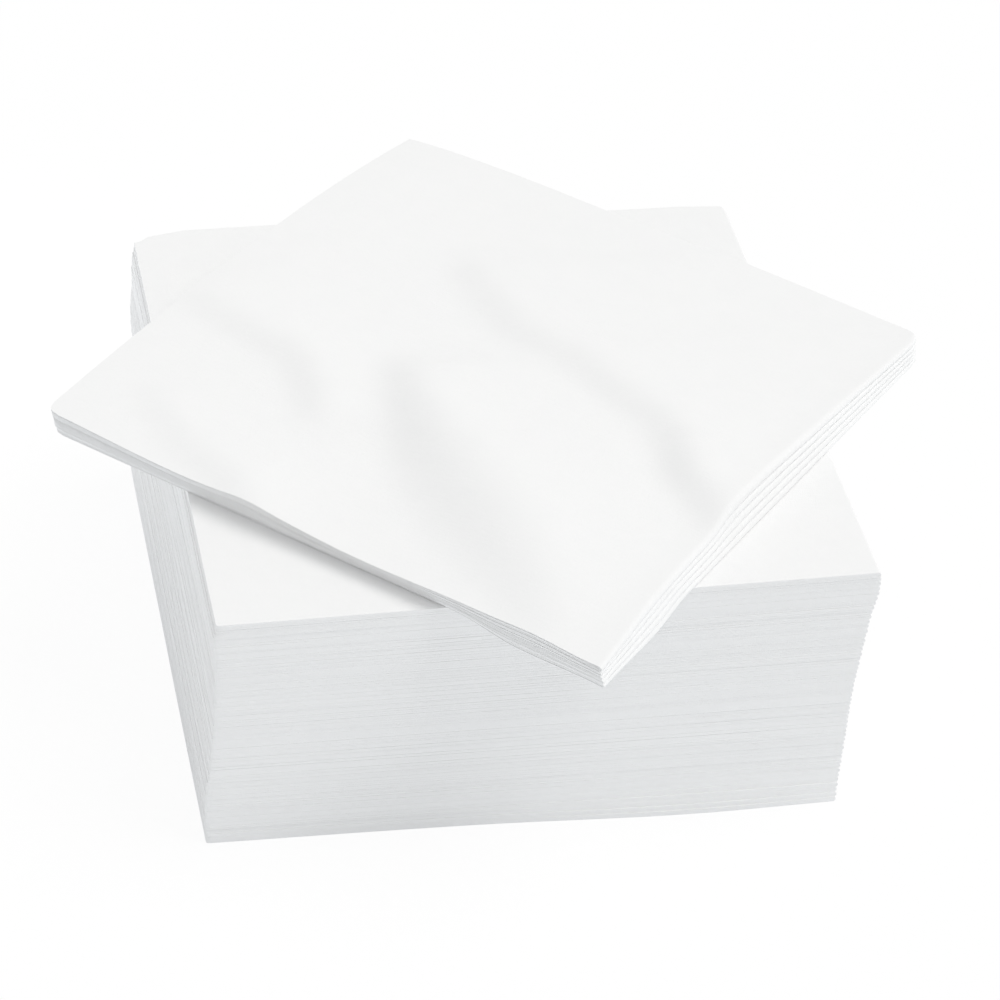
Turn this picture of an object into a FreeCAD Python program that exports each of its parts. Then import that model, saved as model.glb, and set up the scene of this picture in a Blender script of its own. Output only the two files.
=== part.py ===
import FreeCAD, Part
import math
import os

# Sheet and its two folds, all lengths in millimetres and all angles in degrees
sheet_side = 330.0
leaf_thickness = 0.345
leaf_gap = 0.015
fold_flats = 5

# Block of napkins, from the lowest, which lies flat, to the top one, which the thicker folds have tilted
block_count = 50
napkin_gap = 0.011
rise_to_right = 3.84
rise_to_back = 7.18
lean_to_right = 0.8
lean_to_front = 4.8
block_twist_angle = 0.32
stray_shift = 0.09
stray_angle = 0.03

# Thin sheaf that lies turned on the block, with its corners past the block's edges
sheaf_count = 5
sheaf_gap = 0.06
sheaf_angle = -43.45
sheaf_stray_angle = 0.1
sheaf_lean_off_fold = 2.0
sheaf_off_block_right = 1.1
sheaf_off_block_back = 2.6
droop_radius = 250.0
droop_flats = 4

# Each napkin strays by a sine wave, whose steps in radians keep neighbours from lining up
stray_step_right = 2.4
stray_step_back = 3.7
stray_step_turn = 1.9

# Sizes that follow from the values above
napkin_side = sheet_side / 2
half_side = napkin_side / 2
pair_thickness = 2 * leaf_thickness + leaf_gap
napkin_thickness = 2 * pair_thickness + leaf_gap
first_fold_radius = pair_thickness / 2
second_fold_radius = napkin_thickness / 2
block_pitch = napkin_thickness + napkin_gap
sheaf_pitch = napkin_thickness + sheaf_gap
slope_right = rise_to_right / napkin_side
slope_back = rise_to_back / napkin_side
same_place = 1e-6


# Rounded nose of a fold, as flats from its lower side round to its upper side
def nose(centre_across, centre_up, radius):
    points = []
    for step in range(fold_flats + 1):
        angle = math.radians(-90 + 180 * step / fold_flats)
        points.append((centre_across + radius * math.cos(angle), centre_up + radius * math.sin(angle)))
    return points


# Solid with the same outline all along one side of the napkin
def straight_run(outline, direction, start, length):
    if direction == "back":
        corners = [FreeCAD.Vector(across, start, up) for across, up in outline]
        path = FreeCAD.Vector(0, length, 0)
    else:
        corners = [FreeCAD.Vector(start, across, up) for across, up in outline]
        path = FreeCAD.Vector(length, 0, 0)
    wire = Part.makePolygon(corners + [corners[0]])
    return Part.Face(wire).extrude(path)


# Tongue that ends in the nose of the second fold, at the right side
def second_fold_run(radius, length):
    middle = second_fold_radius
    tip = nose(half_side - middle, middle, radius)
    outline = [(-half_side, middle - radius)] + tip + [(-half_side, middle + radius)]
    return straight_run(outline, "back", -half_side, length)


# Both pairs of leaves, each ending in the nose of the first fold, at the back
def first_fold_run():
    axis = half_side - first_fold_radius
    outline = [(-half_side, 0)]
    for underside in (0, pair_thickness + leaf_gap):
        outline += nose(axis, underside + first_fold_radius, first_fold_radius)
    outline.append((-half_side, napkin_thickness))
    return straight_run(outline, "right", -half_side, napkin_side)


# Air between the outer and the inner leaf, which runs round the second fold
def air_round_inner_leaves():
    length = napkin_side - first_fold_radius
    inner = leaf_thickness + leaf_gap / 2
    return second_fold_run(inner + leaf_gap, length).cut(second_fold_run(inner, length))


# Air in the middle of the napkin, which the second fold closes
def air_in_the_middle():
    corner = FreeCAD.Vector(-half_side, -half_side, pair_thickness)
    return Part.makeBox(napkin_side - second_fold_radius, napkin_side, leaf_gap, corner)


# One sheet folded in half to the back and in half again to the right
def folded_napkin():
    body = second_fold_run(second_fold_radius, napkin_side).common(first_fold_run())
    return body.cut([air_round_inner_leaves(), air_in_the_middle()])


# Height that the tilt adds at a place, counted from the left and front edges of the block's top
def tilt_height(share, right, back):
    left_edge = -sheaf_off_block_right - half_side
    front_edge = -sheaf_off_block_back - half_side
    return share * (slope_right * (right - left_edge) + slope_back * (back - front_edge))


# Placement of a napkin whose tilt is a share of the tilt of the block's top
def tilted(share, turn, right, back, up):
    level = FreeCAD.Rotation(FreeCAD.Vector(0, 0, 1), turn)
    normal = FreeCAD.Vector(-share * slope_right, -share * slope_back, 1)
    tilt = FreeCAD.Rotation(FreeCAD.Vector(0, 0, 1), normal)
    place = FreeCAD.Vector(right, back, up + tilt_height(share, right, back))
    return FreeCAD.Placement(place, tilt.multiply(level))


# The block napkins lie in line up to a small stray, and lean towards the front with height
def block_placement(number):
    share = number / (block_count - 1)
    below_top = 1 - share
    stray_right = stray_shift * math.sin(stray_step_right * number)
    stray_back = stray_shift * math.sin(stray_step_back * number)
    right = -sheaf_off_block_right - lean_to_right * below_top + stray_right
    back = -sheaf_off_block_back + lean_to_front * below_top + stray_back
    turn = -block_twist_angle * below_top + stray_angle * math.sin(stray_step_turn * number)
    return tilted(share, turn, right, back, number * block_pitch)


# Drop of an overhanging sheaf at a distance past the block's edge, along one arc
def arc_drop(distance):
    return droop_radius - math.sqrt(droop_radius * droop_radius - distance * distance)


# Places from a block edge to past the sheaf's corner, where the flats of the droop meet
def bend_lines(reach):
    return [half_side + reach * step / droop_flats for step in range(droop_flats + 1)]


# Faces of a solid between two bend lines, without the two that the cuts make
def strip_faces(solid, front, back):
    span = 2 * sheet_side
    corner = FreeCAD.Vector(-span / 2, front, -span / 2)
    strip = solid.common(Part.makeBox(span, back - front, span, corner))
    outlines = [[vertex.Point for vertex in face.OuterWire.OrderedVertexes] for face in strip.Faces]
    return [points for points in outlines if not on_one_line(points, (front, back))]


# Whether all points lie on one and the same of the bend lines
def on_one_line(points, lines):
    return any(all(abs(point.y - line) < same_place for point in points) for line in lines)


# Solid bent in flats: each strip between two lines drops along its own slope, and all stay joined
def bent(solid, lines, drops):
    faces = []
    for front, back, drop_front, drop_back in zip(lines, lines[1:], drops, drops[1:]):
        slope = (drop_back - drop_front) / (back - front)
        for points in strip_faces(solid, front, back):
            moved = [point - FreeCAD.Vector(0, 0, drop_front + slope * (point.y - front)) for point in points]
            faces.append(Part.Face(Part.makePolygon(moved + [moved[0]])))
    return Part.Solid(Part.Shell(faces))


# One napkin of the sheaf, in the frame of the block's top: turned, and drooping past its front and back edges
def sheaf_napkin(flat, turn, off_fold):
    solid = flat.copy()
    offset = FreeCAD.Vector(sheaf_off_block_right, sheaf_off_block_back, 0)
    turned = FreeCAD.Placement(offset, FreeCAD.Rotation(FreeCAD.Vector(0, 0, 1), turn))
    solid.Placement = turned.multiply(FreeCAD.Placement(FreeCAD.Vector(-off_fold, 0, 0), FreeCAD.Rotation()))
    reach = napkin_side / math.sqrt(2) + sheaf_off_block_back + sheaf_lean_off_fold - half_side
    outward = bend_lines(reach)
    drops = [arc_drop(place - half_side) for place in outward]
    lines = [-place for place in reversed(outward)] + outward
    return bent(solid, lines, drops[::-1] + drops)


# Files of the block, named from the lowest napkin up
def write_block(flat):
    for number in range(block_count):
        napkin = flat.copy()
        napkin.Placement = block_placement(number)
        napkin.exportStep(f"parts/napkin_{number + 1:02d}.step")


# Files of the sheaf, named from its lowest napkin up, each a little farther back from the second fold's side
def write_sheaf(flat):
    for number in range(sheaf_count):
        turn = sheaf_angle + sheaf_stray_angle * math.sin(stray_step_turn * number)
        napkin = sheaf_napkin(flat, turn, sheaf_lean_off_fold * (number / (sheaf_count - 1) - 0.5))
        underside = block_count * block_pitch + sheaf_gap + number * sheaf_pitch
        napkin.Placement = tilted(1, 0, -sheaf_off_block_right, -sheaf_off_block_back, underside)
        napkin.exportStep(f"parts/turned_napkin_{number + 1}.step")


os.makedirs("parts", exist_ok=True)
napkin_shape = folded_napkin()
write_block(napkin_shape)
write_sheaf(napkin_shape)
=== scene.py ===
import math

import bpy
import numpy as np
from mathutils import Matrix, Vector


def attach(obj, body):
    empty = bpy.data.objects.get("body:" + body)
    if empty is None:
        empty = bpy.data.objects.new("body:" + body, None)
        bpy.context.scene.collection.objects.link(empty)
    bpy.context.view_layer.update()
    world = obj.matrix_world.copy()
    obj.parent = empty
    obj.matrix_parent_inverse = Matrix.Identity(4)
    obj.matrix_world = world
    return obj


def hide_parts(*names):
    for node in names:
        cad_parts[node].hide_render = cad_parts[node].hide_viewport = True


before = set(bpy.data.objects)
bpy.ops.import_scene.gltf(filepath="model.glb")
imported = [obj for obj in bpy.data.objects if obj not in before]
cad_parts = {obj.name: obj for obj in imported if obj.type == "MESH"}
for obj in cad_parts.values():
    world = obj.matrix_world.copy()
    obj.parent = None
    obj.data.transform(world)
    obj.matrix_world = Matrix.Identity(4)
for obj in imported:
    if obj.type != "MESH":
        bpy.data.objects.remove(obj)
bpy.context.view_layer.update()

mm = 0.001

# one sheet of tissue, folded in half to the back and in half again to the right (millimetres)
sheet = {
    "side": 330.0,
    "folded": 1.425,        # thickness of the folded napkin
    "arcSteps": 8,          # faces round a fold
    "nearEdge": (0.0, 0.5, 1.6, 4.0),   # grid lines close to a cut edge
    "nearFold": (2.5, 0.5),             # and close to a fold
    "edgeWaves": [(1.0, 31.0), (0.6, 14.0), (0.35, 6.5)],   # strength and length of a cut edge's wander
    "puffReach": 5.0,       # how far in from a fold the air that it holds reaches
    "sharpFrom": 50.0,      # degrees; cut edges stay crisp, folds smooth
}

side = sheet["side"] / 2
half = side / 2
napkinThick = sheet["folded"]


def rampIn(value, low, high):
    t = np.clip((value - low) / (high - low), 0, 1)
    return t * t * (3 - 2 * t)


# air between two leaves, and thickness of the pair that the first fold makes
def leafAir(pile):
    return (napkinThick - 4 * pile["leaf"]) / 3


def pairThick(pile):
    return 2 * pile["leaf"] + leafAir(pile)


# grid lines of one leaf, from its cut edge to the axis of the fold
def leafLines(axis, step):
    length = axis + half
    near = list(sheet["nearEdge"])
    far = [length - d for d in sheet["nearFold"]] + [length]
    count = max(2, round((far[0] - near[-1]) / step))
    middle = [near[-1] + (far[0] - near[-1]) * k / count for k in range(1, count)]
    return np.array(near + middle + far) - half


# directions round a fold, from its lower to its upper leaf
def foldAngles():
    return np.radians(-90 + 180 * np.arange(1, sheet["arcSteps"]) / sheet["arcSteps"])


# run of the first fold: place, height and outward direction of each grid line across the sheet
def firstFold(pile):
    radius = (pile["leaf"] + leafAir(pile)) / 2
    centre = pairThick(pile) / 2
    axis = half - centre
    lower = leafLines(axis, pile["step"])
    angles = foldAngles()
    place = np.concatenate([lower, axis + radius * np.cos(angles), lower[::-1]])
    height = np.concatenate([np.full(len(lower), centre - radius), centre + radius * np.sin(angles),
                             np.full(len(lower), centre + radius)])
    outPlace = np.concatenate([np.zeros(len(lower)), np.cos(angles), np.zeros(len(lower))])
    outHeight = np.concatenate([-np.ones(len(lower)), np.sin(angles), np.ones(len(lower))])
    isUpper = np.concatenate([np.zeros(len(lower)), np.full(len(angles), 0.5), np.ones(len(lower))])
    return place, height, outPlace, outHeight, isUpper


# run of the second fold: place of the line and the angle round the fold's axis
def secondFold(step):
    axis = half - napkinThick / 2
    lower = leafLines(axis, step)
    angles = foldAngles()
    place = np.concatenate([lower, np.full(len(angles), axis), lower[::-1]])
    turn = np.concatenate([np.full(len(lower), -math.pi / 2), angles, np.full(len(lower), math.pi / 2)])
    isUpper = np.concatenate([np.zeros(len(lower)), np.full(len(angles), 0.5), np.ones(len(lower))])
    return place, turn, isUpper


# points of both faces of the folded sheet, flat and square, as two grids of x, y and height
def foldedSheet(pile, rng, puff=0.0):
    y, h, outY, outH, upperY = firstFold(pile)
    x, turn, upperX = secondFold(pile["step"])
    isTop = upperX[:, None]
    isOuter = upperY[None, :]
    strayFront = leafEnds(rng.normal(0, pile["leafStray"], (2, 2)), isTop, isOuter)
    strayLeft = leafEnds(rng.normal(0, pile["leafStray"], (2, 2)), isTop, isOuter)
    phases = rng.uniform(0, 2 * math.pi, (2, len(sheet["edgeWaves"])))
    grow = puff / 2 * rampIn(x, x.max() - sheet["puffReach"], x.max())[:, None]
    faces = []
    for face in (0.5, -0.5):
        placeY = y + outY * pile["leaf"] * face
        height = h + outH * pile["leaf"] * face
        radius = napkinThick / 2 - height[None, :] + grow
        gridX = x[:, None] + np.cos(turn)[:, None] * radius
        gridZ = napkinThick / 2 + grow + np.sin(turn)[:, None] * radius
        gridY = np.repeat(placeY[None, :], len(x), axis=0)
        towardFront = (half - gridY) / side * (strayFront + edgeWander(gridX, phases[0], pile["edgeWave"]))
        towardLeft = (half - gridX) / side * (strayLeft + edgeWander(gridY, phases[1], pile["edgeWave"]))
        gridX, gridY = roundCorner(gridX - towardLeft, gridY - towardFront, pile["cornerRound"])
        gridX, gridY = roundCorner(-gridX, -gridY, pile["cutRound"])
        faces.append((-gridX, -gridY, gridZ))
    return faces


# rounds the corner at the right and back; turned about, the sheet has the opposite corner there
def roundCorner(x, y, radius):
    u = np.maximum(0, (x - half) / radius + 1)
    v = np.maximum(0, (y - half) / radius + 1)
    shrink = np.maximum(u, v) / np.maximum(np.hypot(u, v), 1e-9)
    pull = np.where((u > 0) & (v > 0), 1 - shrink, 0) * radius
    return x - pull * u, y - pull * v


# how far each of the four leaves ends from the square, eased round the folds
def leafEnds(ends, isTop, isUpper):
    low = ends[0, 0] * (1 - isUpper) + ends[0, 1] * isUpper
    high = ends[1, 1] * (1 - isUpper) + ends[1, 0] * isUpper
    return low * (1 - isTop) + high * isTop


# slow wander of a cut edge along its length
def edgeWander(along, phases, amount):
    return amount * sum(high * np.sin(along / long + phase)
                        for (high, long), phase in zip(sheet["edgeWaves"], phases))


# closed mesh of a folded sheet from its outer and inner face
def sheetMesh(name, outer, inner):
    nx, ny = outer[0].shape
    points = np.concatenate([np.stack([c.ravel() for c in face], axis=1) for face in (outer, inner)]) * mm
    index = np.arange(nx * ny).reshape(nx, ny)
    back = index + nx * ny
    a, b, c, d = index[:-1, :-1], index[1:, :-1], index[1:, 1:], index[:-1, 1:]
    quads = [np.stack([a, d, c, b], axis=-1).reshape(-1, 4)]
    a, b, c, d = back[:-1, :-1], back[1:, :-1], back[1:, 1:], back[:-1, 1:]
    quads.append(np.stack([a, b, c, d], axis=-1).reshape(-1, 4))
    smoothCount = sum(len(q) for q in quads)
    # the four rims, which join the two faces along the cut edges
    for line, under, forward in ((index[:, 0], back[:, 0], True), (index[:, -1], back[:, -1], False),
                                 (index[0, :], back[0, :], False), (index[-1, :], back[-1, :], True)):
        start, end = (line[:-1], line[1:]) if forward else (line[1:], line[:-1])
        startUnder, endUnder = (under[:-1], under[1:]) if forward else (under[1:], under[:-1])
        quads.append(np.stack([start, end, endUnder, startUnder], axis=-1))
    quads = np.concatenate(quads)
    mesh = bpy.data.meshes.new(name)
    mesh.vertices.add(len(points))
    mesh.vertices.foreach_set("co", points.astype(np.float32).ravel())
    mesh.loops.add(quads.size)
    mesh.loops.foreach_set("vertex_index", quads.ravel().astype(np.int32))
    mesh.polygons.add(len(quads))
    mesh.polygons.foreach_set("loop_start", (np.arange(len(quads)) * 4).astype(np.int32))
    mesh.polygons.foreach_set("use_smooth", np.arange(len(quads)) < smoothCount)
    layer = mesh.uv_layers.new(name="sheet")
    layer.data.foreach_set("uv", sheetPlaces(outer)[quads.ravel() % (nx * ny)].astype(np.float32).ravel())
    mesh.update(calc_edges=True)
    mesh.validate()
    mesh.set_sharp_from_angle(angle=math.radians(sheet["sharpFrom"]))
    return mesh


# place of each grid point on the sheet laid flat, as a share of its side
def sheetPlaces(face):
    x, y, z = face
    alongX = np.hypot(np.diff(x, axis=0), np.diff(z, axis=0)).mean(axis=1)
    alongY = np.hypot(np.diff(y, axis=1), np.diff(z, axis=1)).mean(axis=0)
    u = np.concatenate([[0], np.cumsum(alongX)]) / sheet["side"]
    v = np.concatenate([[0], np.cumsum(alongY)]) / sheet["side"]
    return np.stack([np.repeat(u[:, None], len(v), axis=1), np.repeat(v[None, :], len(u), axis=0)],
                    axis=-1).reshape(-1, 2)


def addNapkin(name, mesh, tissue):
    napkin = bpy.data.objects.new(name, mesh)
    bpy.context.scene.collection.objects.link(napkin)
    napkin.data.materials.append(tissue)
    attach(napkin, "root")
    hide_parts(name.replace("soft_", ""))
    return napkin


# soft white tissue; a noise has its cells along the sheet, detail, stretch, turn in degrees and depth (mm)
tissueLook = {
    "colour": (0.94, 0.94, 0.94),
    "cloudy": (0.915, 0.917, 0.918),    # thinner places of the tissue
    "rough": 0.88,
    "specular": 0.25,
    "sheen": 0.25,
    "sheenRough": 0.5,
    "cloud": {"cells": 60.0, "detail": 4.0, "stretch": (1, 1, 1), "turn": 0.0},
    "crepe": {"cells": 330.0, "detail": 3.0, "stretch": (0.35, 2.4, 1), "turn": 0.0, "depth": 0.05},
    "fibre": {"cells": 900.0, "detail": 4.0, "stretch": (1.0, 0.45, 1), "turn": 35.0, "depth": 0.035},
}


def noiseOver(tree, source, how):
    place = tree.nodes.new("ShaderNodeMapping")
    place.inputs["Scale"].default_value = how["stretch"]
    place.inputs["Rotation"].default_value = (0, 0, math.radians(how["turn"]))
    noise = tree.nodes.new("ShaderNodeTexNoise")
    noise.inputs["Scale"].default_value = how["cells"]
    noise.inputs["Detail"].default_value = how["detail"]
    tree.links.new(source, place.inputs["Vector"])
    tree.links.new(place.outputs["Vector"], noise.inputs["Vector"])
    return noise.outputs["Fac"]


def bumpOf(tree, height, depth, before=None):
    bump = tree.nodes.new("ShaderNodeBump")
    bump.inputs["Strength"].default_value = 1.0
    bump.inputs["Distance"].default_value = depth * mm
    tree.links.new(height, bump.inputs["Height"])
    if before:
        tree.links.new(before, bump.inputs["Normal"])
    return bump.outputs["Normal"]


# the tissue is creped across the sheet, with fibres and cloudy thin places
def makeTissue():
    look = tissueLook
    tissue = bpy.data.materials.new("white tissue")
    tissue.use_nodes = True
    tree = tissue.node_tree
    shader = tree.nodes["Principled BSDF"]
    shader.inputs["Roughness"].default_value = look["rough"]
    shader.inputs["Specular IOR Level"].default_value = look["specular"]
    shader.inputs["Sheen Weight"].default_value = look["sheen"]
    shader.inputs["Sheen Roughness"].default_value = look["sheenRough"]
    uv = tree.nodes.new("ShaderNodeUVMap")
    uv.uv_map = "sheet"
    flat = uv.outputs["UV"]
    cloud = noiseOver(tree, flat, look["cloud"])
    mix = tree.nodes.new("ShaderNodeMix")
    mix.data_type = "RGBA"
    mix.inputs["A"].default_value = (*look["cloudy"], 1)
    mix.inputs["B"].default_value = (*look["colour"], 1)
    tree.links.new(cloud, mix.inputs["Factor"])
    tree.links.new(mix.outputs["Result"], shader.inputs["Base Color"])
    crepe = noiseOver(tree, flat, look["crepe"])
    fibre = noiseOver(tree, flat, look["fibre"])
    normal = bumpOf(tree, crepe, look["crepe"]["depth"])
    normal = bumpOf(tree, fibre, look["fibre"]["depth"], normal)
    tree.links.new(normal, shader.inputs["Normal"])
    return tissue


# the block of square-set napkins
block = {
    "count": 50,
    "seed": 100,            # of the lowest napkin's random draws
    "leaf": 0.345,          # thickness of the three plies together, pressed
    "air": 0.011,           # between two napkins
    "riseRight": 3.84,      # what the folds add to the height at the right side
    "riseBack": 7.18,       # and at the back
    "leanRight": 0.8,
    "leanFront": 4.8,
    "twist": 0.32,          # degrees, bottom to top
    "strayShift": 0.06,
    "strayTurn": 0.02,
    "step": 10.0,           # grid spacing
    "edgeWave": 0.035,      # how far a cut edge wanders along its length
    "leafStray": 0.02,      # and how far the four leaves of a napkin end apart
    "cornerRound": 1.6,
    "cutRound": 0.8,
    # swells of the sides: how much, at which share of the height, and over how much of it
    "wide": (0.9, 0.93, 0.08),          # looser napkins under the top are a little wider
    "narrow": (0.765, 0.5, 0.22),       # and pressed ones in the middle narrower
    "leftSwell": (1.2, 0.72, 0.14),     # the back of the left side swells above the middle
    "swellFrom": -40.0,     # where a swell starts that grows towards the back
    "backBulge": 4.4,       # the first folds swell out at the top of the back side
    "bulgeEnds": (7.0, 10.0),           # and ease into its left and right corner
    "bulgeFade": 0.75,      # most of it fades to the right
    "bulgeFadeFrom": (-40.0, 70.0),
    "footHigh": 0.2,        # share of the height that the foot takes
    "footBulge": 2.4,       # its napkins swell towards the front
    "footAt": 42.0,         # most so round this place, this far to both sides
    "footLong": 38.0,
    "footEven": 0.35,       # swell of the whole side, against 1 more at that place
    "footTuck": 0.9,        # and they draw in at the left
    # looser and tighter places: strength, and radians for a napkin and for a millimetre right and back
    "squash": 0.07,
    "looser": [(1.0, 0.9, 0.021, -0.013), (0.6, 2.3, 0.018, 0.034)],
    "settled": (5.0, 4.0),  # napkins at the bottom and top, over which they fade
}
strayStep = {"right": 2.4, "back": 3.7, "turn": 1.9}    # radians from one napkin to the next

blockPitch = napkinThick + block["air"]
slopeRight = block["riseRight"] / side
slopeBack = block["riseBack"] / side


# height in the block at a place on the table, for a level counted in napkins from the bottom
def blockHeight(x, y, level):
    leftEdge = -sheaf["offRight"] - half
    frontEdge = -sheaf["offBack"] - half
    tilt = slopeRight * (x - leftEdge) + slopeBack * (y - frontEdge)
    bottom, top = block["settled"]
    settled = rampIn(level, 0, bottom) * rampIn(block["count"] - level, 0, top)
    looser = sum(high * np.sin(up * level + right * x + back * y)
                 for high, up, right, back in block["looser"])
    return level * (blockPitch + tilt / block["count"]) + block["squash"] * settled * looser


def swellAt(share, swelling):
    high, at, span = swelling
    return high * math.exp(-((share - at) / span) ** 2)


# a block napkin's points with its front, left and right side swollen or pressed
def blockSides(share, x, y):
    flare = swellAt(share, block["wide"]) - swellAt(share, block["narrow"])
    leftSwell = swellAt(share, block["leftSwell"]) * rampIn(y, block["swellFrom"], half)
    foot = max(0, 1 - share / block["footHigh"]) ** 2
    belly = block["footEven"] + np.exp(-((x - block["footAt"]) / block["footLong"]) ** 2)
    footFront = block["footBulge"] * foot * belly / (1 + block["footEven"])
    toLeft = (half - x) / side
    x = x * (1 + flare / half) + (block["footTuck"] * foot - leftSwell) * toLeft
    return x, y - footFront * (half - y) / side


# how far the first folds stand out at the back, more with height
def backBulge(share, x, y):
    left, right = block["bulgeEnds"]
    ends = rampIn(x + half, 0, left) * rampIn(half - x, 0, right)
    across = 1 - block["bulgeFade"] * rampIn(x, *block["bulgeFadeFrom"])
    return block["backBulge"] * share ** 2 * ends * across * rampIn(y, block["swellFrom"], half)


# a block napkin's points in place
def blockPoints(number, x, y, z):
    share = number / (block["count"] - 1)
    x, y = blockSides(share, x, y)
    right = -sheaf["offRight"] - block["leanRight"] * (1 - share)
    back = -sheaf["offBack"] + block["leanFront"] * (1 - share)
    right += block["strayShift"] * math.sin(strayStep["right"] * number)
    back += block["strayShift"] * math.sin(strayStep["back"] * number)
    back = back + backBulge(share, x, y)
    turn = -block["twist"] * (1 - share) + block["strayTurn"] * math.sin(strayStep["turn"] * number)
    cos, sin = math.cos(math.radians(turn)), math.sin(math.radians(turn))
    placeX = right + x * cos - y * sin
    placeY = back + x * sin + y * cos
    return placeX, placeY, blockHeight(placeX, placeY, number + z / blockPitch)


def buildBlock(tissue):
    under = None
    for number in range(block["count"]):
        rng = np.random.default_rng(block["seed"] + number)
        outer, inner = foldedSheet(block, rng)
        outer, inner = blockPoints(number, *outer), blockPoints(number, *inner)
        name = f"soft_napkin_{number + 1:02d}"
        addNapkin(name, sheetMesh(name, outer, inner), tissue)
        under = name
    return under


# the thin sheaf that lies turned on top
sheaf = {
    "count": 5,
    "seed": 500,
    "leaf": 0.27,           # looser leaves, with more air between them
    "air": 0.06,
    "pressed": 0.95,        # napkins pressed thinner, which keeps neighbours apart where they bend
    "turn": -43.45,         # degrees
    "strayTurn": 0.05,
    "offRight": 1.1,        # its centre from the centre of the block's top
    "offBack": 2.6,
    "step": 3.1,
    "edgeWave": 0.06,
    "leafStray": 0.04,
    "cornerRound": 5.0,     # the corner where both folds meet
    "cutRound": 3.5,        # and the one across from it, where all leaves end
    "leanFront": 0.2,       # the upper napkins stand a little to the front
    "lean": 2.0,            # and back from the second fold's side
    "bow": 2.1,             # and most so in the middle of that side
    "bowEven": 0.57,        # share of the bow that the whole side takes back
    "farCorner": 1.3,       # the back corner strays out of square
    "spread": 1.4,          # loose leaves spread at the middle of the other two sides
    "spreadEven": 0.18,     # by this share more at the back
    "tuck": 0.3,            # the lowest napkin's cut front edge lies farther in
    "inset": 1.1,           # and each leaf's front edge a little farther in than the one above
    "insetReach": 30.0,
    "cutRise": 1.3,         # loose leaves stand higher along the cut left side
    "cutRiseReach": 30.0,
    "droop": 250.0,         # radius of the overhanging corners
    "hang": 2.4,            # past the block's front edge the lower napkins hang lower
    "hangFrom": (1.5, 14.0),            # distances past the edge where it starts and is full
    "hangFade": 0.6,        # share that is lost again towards the corner
    "hangFadeTo": 32.0,
    "topPuff": 0.35,        # air that the top napkin's second fold holds
}

sheafPitch = napkinThick + sheaf["air"]

# soft waves of the top napkins; each follows places right and back on the sheaf, with the rise there and
# how far to both sides that rise takes; it faces the left, and behind it the tissue sinks back slowly
waves = {
    "spacing": 1.5,         # of the map that all the sheaf's napkins read
    "cells": 64,            # of the map, from its middle to each side
    "smooth": 2.2,
    "smoothCells": 5,
    "lineSteps": 8,         # between two places
    "gain": 3.0,            # of all rises
    "endFade": 16.0,
    "lines": [
        {"sink": 46.0, "points": [
            (-26, -8, 1.0, 5), (-13, -21, 1.7, 7), (2, -36, 2.5, 11), (17, -47, 3.0, 15),
            (33, -56, 3.0, 16), (47, -66, 2.2, 14), (60, -77, 1.2, 10), (70, -88, 0.6, 7)]},
        {"sink": 50.0, "points": [
            (-38, 46, 0.5, 5), (-30, 35, 0.8, 6), (-16, 25, 1.0, 6), (-4, 18, 1.1, 6), (16, 14, 1.1, 5),
            (35, 7, 1.2, 5), (53, 0, 1.4, 5), (64, -12, 1.8, 5), (76, -20, 1.5, 5), (88, -30, 1.1, 5)]},
        {"sink": 26.0, "points": [
            (-92, -17, 0.4, 5), (-78, -21, 0.7, 5), (-60, -24, 1.1, 5), (-43, -27, 1.2, 5),
            (-29, -40, 1.1, 5), (-24, -52, 0.6, 5)]},
        {"sink": 20.0, "points": [
            (-74, -58, 0.4, 4), (-64, -63, 0.6, 4), (-45, -73, 0.8, 5), (-25, -80, 0.9, 5),
            (-12, -88, 0.6, 5)]},
        {"sink": 10.0, "points": [(-57, -9, 0.3, 3), (-48, -9, 0.4, 3), (-44, -3, 0.3, 3)]},
    ],
}
# faint overall swell of the pile of leaves, with its lengths and phases to the right and back
swell = {"high": 0.3, "long": 29.0, "backLonger": 0.65, "phaseRight": 0.6, "phaseBack": -0.4}
# the cut front side gapes at one place and is pressed flat at the next: place, half length, reach and height
gapes = [(-17.0, 17.0, 16.0, 1.0), (14.0, 22.0, 16.0, -0.6)]


# a line of places filled in along a smooth curve
def smoothLine(points):
    given = np.array(points, float)
    given = np.concatenate([[2 * given[0] - given[1]], given, [2 * given[-1] - given[-2]]])
    filled = []
    for before, a, b, after in zip(given, given[1:], given[2:], given[3:]):
        for t in np.arange(waves["lineSteps"]) / waves["lineSteps"]:
            bend = (2 * before - 5 * a + 4 * b - after) * t * t + (3 * a - before - 3 * b + after) * t ** 3
            filled.append(a + ((b - before) * t + bend) / 2)
    return np.array(filled + [given[-2]])


# rise of one wave over a grid of places
def waveHeight(x, y, wave):
    line = smoothLine(wave["points"])
    run = np.concatenate([[0], np.cumsum(np.hypot(np.diff(line[:, 0]), np.diff(line[:, 1])))])
    best = np.full(x.shape, np.inf)
    aside, along, rise, wide = (np.zeros(x.shape) for _ in range(4))
    for k, (a, b) in enumerate(zip(line, line[1:])):
        dx, dy = b[0] - a[0], b[1] - a[1]
        t = np.clip(((x - a[0]) * dx + (y - a[1]) * dy) / (dx * dx + dy * dy), 0, 1)
        offX, offY = x - a[0] - t * dx, y - a[1] - t * dy
        away = np.hypot(offX, offY)
        near = away < best
        best = np.where(near, away, best)
        aside = np.where(near, away * np.sign(dx * offY - dy * offX), aside)
        along = np.where(near, run[k] + t * (run[k + 1] - run[k]), along)
        rise = np.where(near, a[2] + t * (b[2] - a[2]), rise)
        wide = np.where(near, a[3] + t * (b[3] - a[3]), wide)
    fade = rampIn(along, 0, waves["endFade"]) * rampIn(run[-1] - along, 0, waves["endFade"])
    behind = np.exp(-np.maximum(0, aside) / wave["sink"])
    return waves["gain"] * rise * fade * rampIn(aside, -wide, wide) * behind


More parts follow.
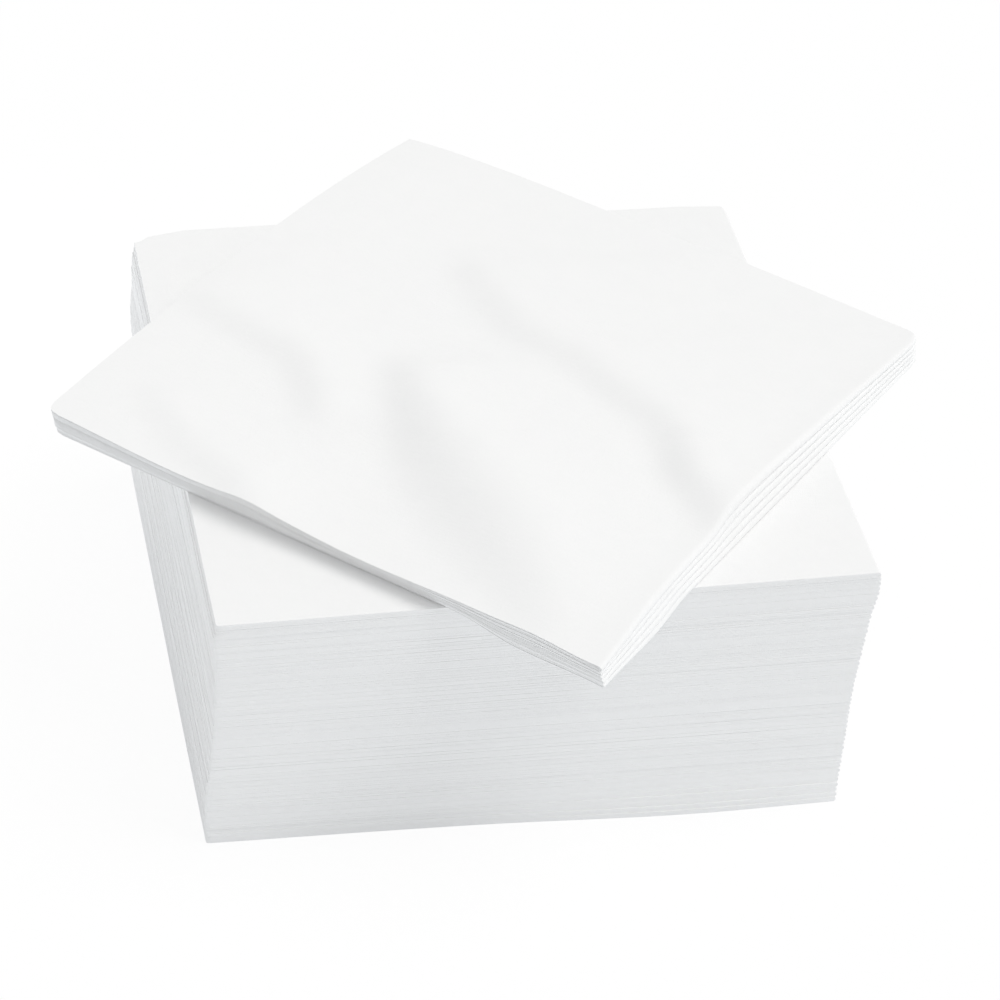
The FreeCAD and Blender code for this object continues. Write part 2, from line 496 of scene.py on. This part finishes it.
# smooth map of the relief over the sheaf, in millimetres
def makeReliefMap():
    places = np.arange(-waves["cells"], waves["cells"] + 1) * waves["spacing"]
    x, y = np.meshgrid(places, places, indexing="ij")
    toRight = np.sin(x / swell["long"] + swell["phaseRight"])
    toBack = np.cos(y / swell["long"] * swell["backLonger"] + swell["phaseBack"])
    height = swell["high"] * toRight * toBack
    for wave in waves["lines"]:
        height = height + waveHeight(x, y, wave)
    border = waves["smoothCells"]
    reach = np.arange(-border, border + 1)
    weights = np.exp(-(reach * waves["spacing"] / waves["smooth"]) ** 2 / 2)
    weights /= weights.sum()
    for axis in (0, 1):
        padded = np.concatenate([np.repeat(height.take([0], axis), border, axis), height,
                                 np.repeat(height.take([-1], axis), border, axis)], axis)
        size = height.shape[axis]
        height = sum(w * padded.take(range(k, k + size), axis) for k, w in enumerate(weights))
    return places, height - height.mean()


reliefMap = makeReliefMap()


# relief read from the map, between its four nearest places
def relief(x, y):
    places, height = reliefMap
    last = len(places) - 1.001
    i = np.clip((x - places[0]) / waves["spacing"], 0, last)
    j = np.clip((y - places[0]) / waves["spacing"], 0, last)
    i0, j0 = i.astype(int), j.astype(int)
    u, v = i - i0, j - j0
    low = height[i0, j0] * (1 - u) + height[i0 + 1, j0] * u
    high = height[i0, j0 + 1] * (1 - u) + height[i0 + 1, j0 + 1] * u
    return low * (1 - v) + high * v


def gapeHeight(x, y):
    height = 0.0
    for at, long, deep, high in gapes:
        height = height + high * np.exp(-((x - at) / long) ** 2 - ((y + half) / deep) ** 2)
    return height


# drop past an edge of the block along an arc
def arcDrop(past):
    past = np.maximum(0, past)
    return sheaf["droop"] - np.sqrt(sheaf["droop"] ** 2 - past * past)


# drop of the sheaf past the block's front and back edge
def sheafDrop(placeY, share):
    pastFront = -placeY - sheaf["offBack"] - half
    pastBack = placeY + sheaf["offBack"] - half
    start, full = sheaf["hangFrom"]
    kept = 1 - sheaf["hangFade"] * rampIn(pastFront, full, sheaf["hangFadeTo"])
    hang = sheaf["hang"] * rampIn(pastFront, start, full) * kept
    return arcDrop(pastFront) + arcDrop(pastBack) + hang * (1 - share)


# a turned napkin's points in place
def sheafPoints(number, x, y, z):
    level = number + sheaf["pressed"] * z / sheafPitch
    share = level / sheaf["count"]
    bow = sheaf["bow"] * (1 - (y / half) ** 2 - sheaf["bowEven"])
    spread = sheaf["spread"] * (1 - (x / half) ** 2) * (sheaf["spreadEven"] + y / half)
    stray = sheaf["farCorner"] * rampIn(-x, 0, half) * rampIn(y, 0, half)
    tuck = sheaf["tuck"] * (half - y) / side if number == 0 else 0.0
    inset = sheaf["inset"] * (1 - share) * rampIn(-y, half - sheaf["insetReach"], half)
    x = x + sheaf["lean"] / 2 - share * (sheaf["lean"] + bow - stray)
    y = y + share * (spread + stray - sheaf["leanFront"]) + tuck + inset
    # the place of the top napkin that lies above this one
    topX = x + sheaf["lean"] / 2 + bow - stray
    topY = y - spread - stray + sheaf["leanFront"]
    cutRise = sheaf["cutRise"] * np.exp(-((topX + half) / sheaf["cutRiseReach"]) ** 2)
    uneven = relief(topX, topY) + gapeHeight(topX, topY) + cutRise
    turn = math.radians(sheaf["turn"] + sheaf["strayTurn"] * math.sin(strayStep["turn"] * number))
    cos, sin = math.cos(turn), math.sin(turn)
    placeX = x * cos - y * sin
    placeY = x * sin + y * cos
    blockTop = blockHeight(placeX, placeY, float(block["count"])) + sheaf["air"]
    return placeX, placeY, blockTop + level * sheafPitch + uneven * share - sheafDrop(placeY, share)


def buildSheaf(tissue):
    for number in range(sheaf["count"]):
        rng = np.random.default_rng(sheaf["seed"] + number)
        puff = sheaf["topPuff"] if number == sheaf["count"] - 1 else 0.0
        outer, inner = foldedSheet(sheaf, rng, puff)
        outer, inner = sheafPoints(number, *outer), sheafPoints(number, *inner)
        name = f"soft_turned_napkin_{number + 1}"
        addNapkin(name, sheetMesh(name, outer, inner), tissue)


floorLook = {
    "size": 6.0,            # metres
    "below": 0.05,          # millimetres under the lowest napkin
    "bounce": (0.96, 0.98, 1.0),    # what it throws back at the napkins
    "shadowKept": 0.08,
}


# pale floor: white to the eye, with part of the object's shadow kept
def makeFloor():
    bpy.ops.mesh.primitive_plane_add(size=floorLook["size"], location=(0, 0, -floorLook["below"] * mm))
    floor = bpy.context.object
    floor.name = "pale_floor"
    white = bpy.data.materials.new("pale floor")
    white.use_nodes = True
    tree = white.node_tree
    tree.nodes.clear()
    out = tree.nodes.new("ShaderNodeOutputMaterial")
    bounce = tree.nodes.new("ShaderNodeBsdfDiffuse")
    bounce.inputs["Color"].default_value = (*floorLook["bounce"], 1)
    seen = tree.nodes.new("ShaderNodeMixShader")
    seen.inputs["Fac"].default_value = floorLook["shadowKept"]
    shine = tree.nodes.new("ShaderNodeEmission")
    shine.inputs["Strength"].default_value = 1.0
    shaded = tree.nodes.new("ShaderNodeBsdfDiffuse")
    shaded.inputs["Color"].default_value = (1, 1, 1, 1)
    tree.links.new(shine.outputs[0], seen.inputs[1])
    tree.links.new(shaded.outputs[0], seen.inputs[2])
    choose = tree.nodes.new("ShaderNodeMixShader")
    tree.links.new(seenDirectly(tree), choose.inputs["Fac"])
    tree.links.new(bounce.outputs[0], choose.inputs[1])
    tree.links.new(seen.outputs[0], choose.inputs[2])
    tree.links.new(choose.outputs[0], out.inputs["Surface"])
    floor.data.materials.append(white)


# one for rays from the camera and those seen in gloss or through glass
def seenDirectly(tree):
    path = tree.nodes.new("ShaderNodeLightPath")
    total = path.outputs["Is Camera Ray"]
    for name in ("Is Glossy Ray", "Is Transmission Ray"):
        add = tree.nodes.new("ShaderNodeMath")
        add.use_clamp = True
        tree.links.new(total, add.inputs[0])
        tree.links.new(path.outputs[name], add.inputs[1])
        total = add.outputs[0]
    return total


lighting = {
    "sky": (0.99, 0.997, 1.0),
    "skyStrength": 0.665,
    "keyFrom": (0.54, -0.09, 1.0),      # direction, from the right and above
    "keyStrength": 1.2,
    "keySoft": 40.0,                    # degrees across
    "keyColour": (1.0, 0.988, 0.97),
    "fillAt": (-0.2, 0.2, 0.05),        # metres
    "fillAim": (-0.08, 0.03, 0.04),
    "fillSize": 0.1,
    "fillPower": 0.055,
    "fillColour": (0.985, 0.99, 1.0),
}


# soft sky that lights the napkins; the camera sees plain white instead
def makeSky():
    world = bpy.data.worlds.new("soft sky")
    world.use_nodes = True
    bpy.context.scene.world = world
    tree = world.node_tree
    tree.nodes.clear()
    out = tree.nodes.new("ShaderNodeOutputWorld")
    sky = tree.nodes.new("ShaderNodeBackground")
    sky.inputs["Color"].default_value = (*lighting["sky"], 1)
    sky.inputs["Strength"].default_value = lighting["skyStrength"]
    plain = tree.nodes.new("ShaderNodeBackground")
    plain.inputs["Color"].default_value = (1, 1, 1, 1)
    plain.inputs["Strength"].default_value = 1.0
    choose = tree.nodes.new("ShaderNodeMixShader")
    tree.links.new(seenDirectly(tree), choose.inputs["Fac"])
    tree.links.new(sky.outputs[0], choose.inputs[1])
    tree.links.new(plain.outputs[0], choose.inputs[2])
    tree.links.new(choose.outputs[0], out.inputs["Surface"])


def makeLamps():
    lamp = bpy.data.lights.new("soft key", "SUN")
    lamp.energy = lighting["keyStrength"]
    lamp.angle = math.radians(lighting["keySoft"])
    lamp.color = lighting["keyColour"]
    key = bpy.data.objects.new("soft key", lamp)
    bpy.context.scene.collection.objects.link(key)
    key.rotation_euler = Vector(lighting["keyFrom"]).to_track_quat("Z", "Y").to_euler()
    lamp = bpy.data.lights.new("left fill", "AREA")
    lamp.size = lighting["fillSize"]
    lamp.energy = lighting["fillPower"]
    lamp.color = lighting["fillColour"]
    fill = bpy.data.objects.new("left fill", lamp)
    bpy.context.scene.collection.objects.link(fill)
    at = Vector(lighting["fillAt"])
    turn = (at - Vector(lighting["fillAim"])).to_track_quat("Z", "Y")
    fill.matrix_world = Matrix.Translation(at) @ turn.to_matrix().to_4x4()


view = {
    "at": (-201.9, -820.6, 632.9),      # millimetres
    "lookAt": (8.0, 14.0, 33.0),
    "roll": -4.957,                     # degrees
    "lens": 139.67,
    "film": 36.0,
    "farthest": 20.0,                   # metres
}


def makeCamera():
    lens = bpy.data.cameras.new("camera")
    lens.lens = view["lens"]
    lens.sensor_width = view["film"]
    lens.clip_end = view["farthest"]
    camera = bpy.data.objects.new("camera", lens)
    bpy.context.scene.collection.objects.link(camera)
    at = Vector(view["at"]) * mm
    away = at - Vector(view["lookAt"]) * mm
    level = away.to_track_quat("Z", "Y").to_matrix().to_4x4()
    roll = Matrix.Rotation(math.radians(-view["roll"]), 4, "Z")
    camera.matrix_world = Matrix.Translation(at) @ level @ roll
    bpy.context.scene.camera = camera


tissue = makeTissue()
topOfBlock = buildBlock(tissue)
print("block of", block["count"], "napkins built")
buildSheaf(tissue)
print("sheaf of", sheaf["count"], "napkins laid on it")
makeFloor()
makeSky()
makeLamps()
makeCamera()
bpy.context.scene.view_settings.view_transform = "Standard"
print("floor, light and camera set")
